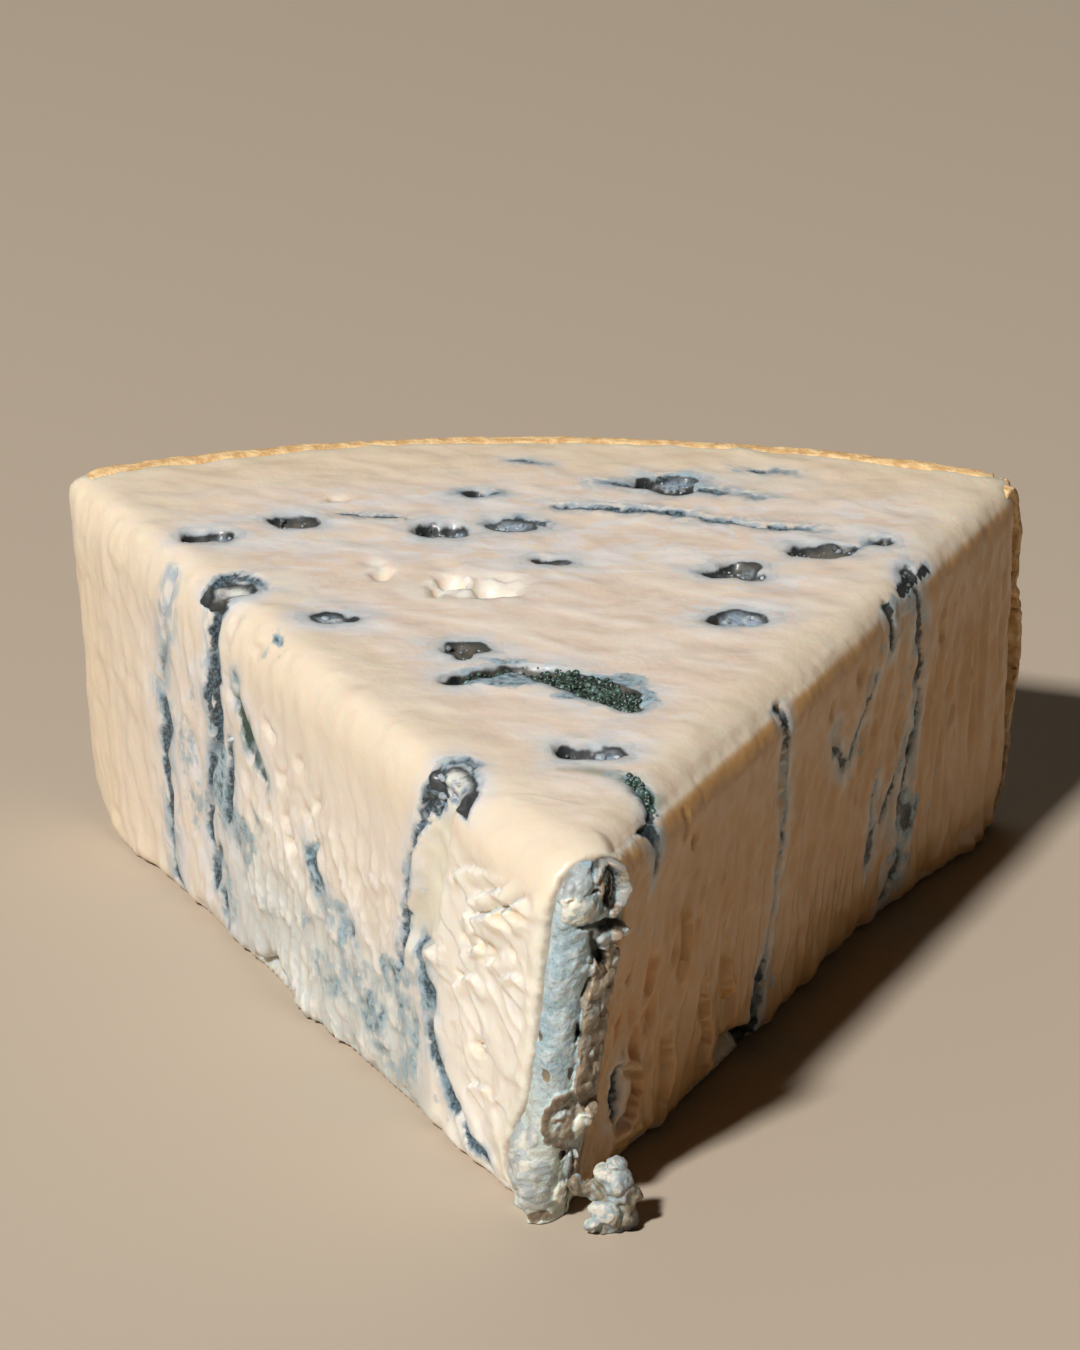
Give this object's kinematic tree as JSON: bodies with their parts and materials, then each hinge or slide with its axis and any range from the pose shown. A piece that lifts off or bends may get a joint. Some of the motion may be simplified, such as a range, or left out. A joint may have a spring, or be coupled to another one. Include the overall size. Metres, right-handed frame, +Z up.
{
  "type": "blue cheese wedge",
  "caption": "Wedge of soft blue cheese cut from a small wheel: needle holes lined with blue mould, a torn blunt nose and a natural rind at the heel. Stands on its flat base.",
  "frame": {"origin": "centre of the box of the flat base, at the height of the surface it rests on", "axes": "+Z up; +Y from the nose toward the rind at the heel; +X to the right, seen from the nose"},
  "size_m": [0.1108, 0.125, 0.043],
  "materials": {
    "paste": "satin",
    "mould": "matte",
    "rind": "matte"
  },
  "bodies": {
    "root": {"cheese_wedge": "paste"}
  },
  "joints": []
}
